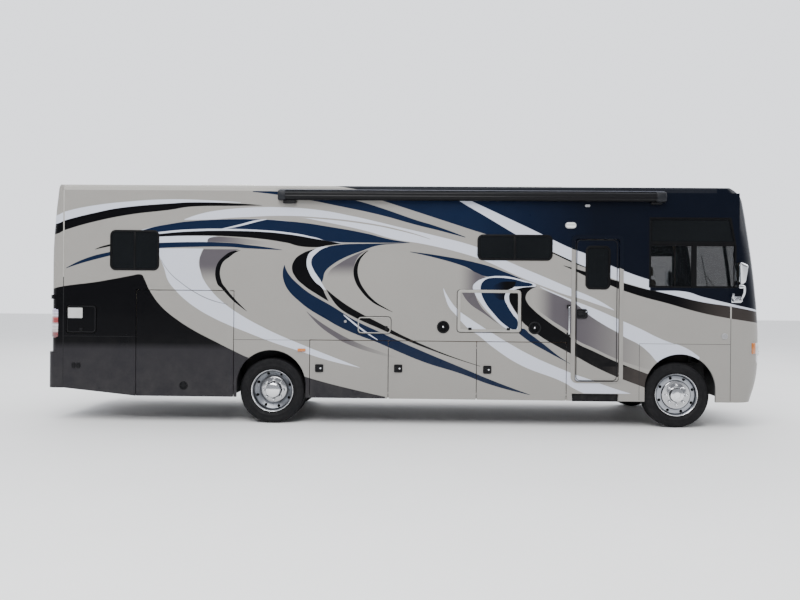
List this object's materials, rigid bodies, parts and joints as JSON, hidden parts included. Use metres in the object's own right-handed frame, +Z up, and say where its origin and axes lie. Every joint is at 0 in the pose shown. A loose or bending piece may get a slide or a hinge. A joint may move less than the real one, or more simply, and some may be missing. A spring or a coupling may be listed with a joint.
{
  "type": "motorhome",
  "caption": "Full-size class A motorhome with a painted box body, slide-out room, entry door, luggage bays and dual rear wheels on a ladder chassis.",
  "frame": {"origin": "on the ground under the middle of the vehicle's length and width", "axes": "+X forward, +Y to the driver's left side, +Z up"},
  "size_m": [10.4279, 3.134, 3.585],
  "materials": {
    "body_paint": "gloss",
    "cap_paint": "gloss",
    "roof_white": "satin",
    "unit_white": "satin",
    "tinted_glass": "gloss",
    "clear_lens": "gloss",
    "red_lens": "gloss",
    "dark_trim": "satin",
    "tan_trim": "satin",
    "dark_liner": "matte",
    "floor": "matte",
    "frame_black": "satin",
    "cast": "matte",
    "tank": "matte",
    "exhaust_steel": "satin",
    "cabin_trim": "matte",
    "seat_leather": "satin",
    "mirror_chrome": "gloss",
    "bright_tube": "satin",
    "tyre": "matte",
    "wheel_polish": "gloss"
  },
  "bodies": {
    "coach": {"front_cap": "cap_paint", "rear_cap": "cap_paint", "wall_right": "body_paint", "wall_left": "body_paint", "skirts_right": "body_paint", "skirts_left": "body_paint", "roof": "roof_white", "windshield": "tinted_glass", "side_windows": "tinted_glass", "headlamps": "clear_lens", "tail_lamps": "red_lens", "grille": "dark_trim", "cab_window_frames": "dark_trim", "entry_frame": "tan_trim", "awning": "cap_paint", "bins_right": "dark_liner", "bins_left": "dark_liner", "wheel_liners": "dark_liner", "coach_floor": "floor", "chassis_frame": "frame_black", "leaf_springs": "frame_black", "front_axle": "frame_black", "rear_axle": "frame_black", "engine": "cast", "drive_shaft": "frame_black", "tanks": "tank", "exhaust": "exhaust_steel", "dashboard": "cabin_trim", "cab_seats": "seat_leather", "mirrors": "mirror_chrome", "roof_units": "unit_white", "ladder": "bright_tube"},
    "steering_knuckle_left": {"knuckle_left": "cast"},
    "steering_knuckle_right": {"knuckle_right": "cast"},
    "steering_tie_rod": {"tie_rod": "frame_black"},
    "wheel_front_left": {"tyre_front_left": "tyre", "rim_front_left": "wheel_polish"},
    "wheel_front_right": {"tyre_front_right": "tyre", "rim_front_right": "wheel_polish"},
    "wheels_rear_left": {"tyres_rear_left": "tyre", "rims_rear_left": "wheel_polish"},
    "wheels_rear_right": {"tyres_rear_right": "tyre", "rims_rear_right": "wheel_polish"},
    "entry_leaf": {"entry_door": "body_paint", "entry_door_window": "tinted_glass"},
    "entry_step_tread": {"entry_step": "dark_trim"},
    "luggage_door_right_1": {"bay_door_right_1": "body_paint"},
    "luggage_door_right_2": {"bay_door_right_2": "body_paint"},
    "luggage_door_right_3": {"bay_door_right_3": "body_paint"},
    "luggage_door_left_1": {"bay_door_left_1": "body_paint"},
    "luggage_door_left_2": {"bay_door_left_2": "body_paint"},
    "luggage_door_left_3": {"bay_door_left_3": "body_paint"},
    "locker_leaf": {"locker_door": "body_paint"},
    "utility_leaf": {"utility_door": "body_paint"},
    "television_lid": {"tv_lid": "body_paint"},
    "service_hatch_lid": {"service_lid": "body_paint"},
    "cord_hatch_lid": {"cord_lid": "body_paint"},
    "slide_out_room": {"slideout_room": "body_paint", "slideout_window": "tinted_glass"}
  },
  "joints": [
    {"name": "steer_left", "type": "hinge", "parent": "coach", "child": "steering_knuckle_left", "pos_m": [3.892, 0.9, 0.47], "axis": [0, 0, 1], "range_deg": [-42, 42]},
    {"name": "steer_right", "type": "hinge", "parent": "coach", "child": "steering_knuckle_right", "pos_m": [3.892, -0.9, 0.47], "axis": [0, 0, 1], "range_deg": [-42, 42]},
    {"name": "tie_rod_pivot", "type": "hinge", "parent": "steering_knuckle_left", "child": "steering_tie_rod", "pos_m": [3.682, 0.9, 0.353], "axis": [0, 0, 1], "range_deg": [-43, 43]},
    {"name": "spin_front_left", "type": "hinge", "parent": "steering_knuckle_left", "child": "wheel_front_left", "pos_m": [3.892, 1.075, 0.47], "axis": [0, 1, 0], "continuous": true},
    {"name": "spin_front_right", "type": "hinge", "parent": "steering_knuckle_right", "child": "wheel_front_right", "pos_m": [3.892, -1.075, 0.47], "axis": [0, 1, 0], "continuous": true},
    {"name": "spin_rear_left", "type": "hinge", "parent": "coach", "child": "wheels_rear_left", "pos_m": [-1.899, 0.94, 0.47], "axis": [0, 1, 0], "continuous": true},
    {"name": "spin_rear_right", "type": "hinge", "parent": "coach", "child": "wheels_rear_right", "pos_m": [-1.899, -0.94, 0.47], "axis": [0, 1, 0], "continuous": true},
    {"name": "entry_door_hinge", "type": "hinge", "parent": "coach", "child": "entry_leaf", "pos_m": [3.041, -1.2825, 1.7], "axis": [0, 0, 1], "range_deg": [0, 95]},
    {"name": "entry_step_slide", "type": "slide", "parent": "coach", "child": "entry_step_tread", "axis": [0, -1, 0], "range_m": [0, 0.28]},
    {"name": "slide_out_travel", "type": "slide", "parent": "coach", "child": "slide_out_room", "axis": [0, 1, 0], "range_m": [0, 0.7]},
    {"name": "luggage_door_right_1_hinge", "type": "hinge", "parent": "coach", "child": "luggage_door_right_1", "pos_m": [-0.225, -1.2825, 0.795], "axis": [0, 0, 1], "range_deg": [0, 90]},
    {"name": "luggage_door_right_2_hinge", "type": "hinge", "parent": "coach", "child": "luggage_door_right_2", "pos_m": [1.032, -1.2825, 0.795], "axis": [0, 0, 1], "range_deg": [0, 90]},
    {"name": "luggage_door_right_3_hinge", "type": "hinge", "parent": "coach", "child": "luggage_door_right_3", "pos_m": [2.306, -1.2825, 0.795], "axis": [0, 0, 1], "range_deg": [0, 90]},
    {"name": "luggage_door_left_1_hinge", "type": "hinge", "parent": "coach", "child": "luggage_door_left_1", "pos_m": [-0.225, 1.2825, 0.795], "axis": [0, 0, -1], "range_deg": [0, 90]},
    {"name": "luggage_door_left_2_hinge", "type": "hinge", "parent": "coach", "child": "luggage_door_left_2", "pos_m": [1.032, 1.2825, 0.795], "axis": [0, 0, -1], "range_deg": [0, 90]},
    {"name": "luggage_door_left_3_hinge", "type": "hinge", "parent": "coach", "child": "luggage_door_left_3", "pos_m": [2.306, 1.2825, 0.795], "axis": [0, 0, -1], "range_deg": [0, 90]},
    {"name": "locker_door_hinge", "type": "hinge", "parent": "coach", "child": "locker_leaf", "pos_m": [-3.152, -1.2825, 1.906], "axis": [-1, 0, 0], "range_deg": [0, 80]},
    {"name": "utility_door_hinge", "type": "hinge", "parent": "coach", "child": "utility_leaf", "pos_m": [-3.152, 1.2825, 1.21], "axis": [1, 0, 0], "range_deg": [0, 85]},
    {"name": "television_lid_hinge", "type": "hinge", "parent": "coach", "child": "television_lid", "pos_m": [1.207, -1.2825, 1.946], "axis": [-1, 0, 0], "range_deg": [0, 90]},
    {"name": "service_lid_hinge", "type": "hinge", "parent": "coach", "child": "service_hatch_lid", "pos_m": [-0.661, -1.2825, 1.4295], "axis": [0, 0, -1], "range_deg": [0, 100]},
    {"name": "cord_lid_hinge", "type": "hinge", "parent": "coach", "child": "cord_hatch_lid", "pos_m": [-4.6545, -1.2825, 1.668], "axis": [-1, 0, 0], "range_deg": [0, 90]}
  ],
  "couplings": [
    {"joint": "steer_right", "follows": "steer_left", "ratio": 1},
    {"joint": "tie_rod_pivot", "follows": "steer_left", "ratio": -1}
  ]
}
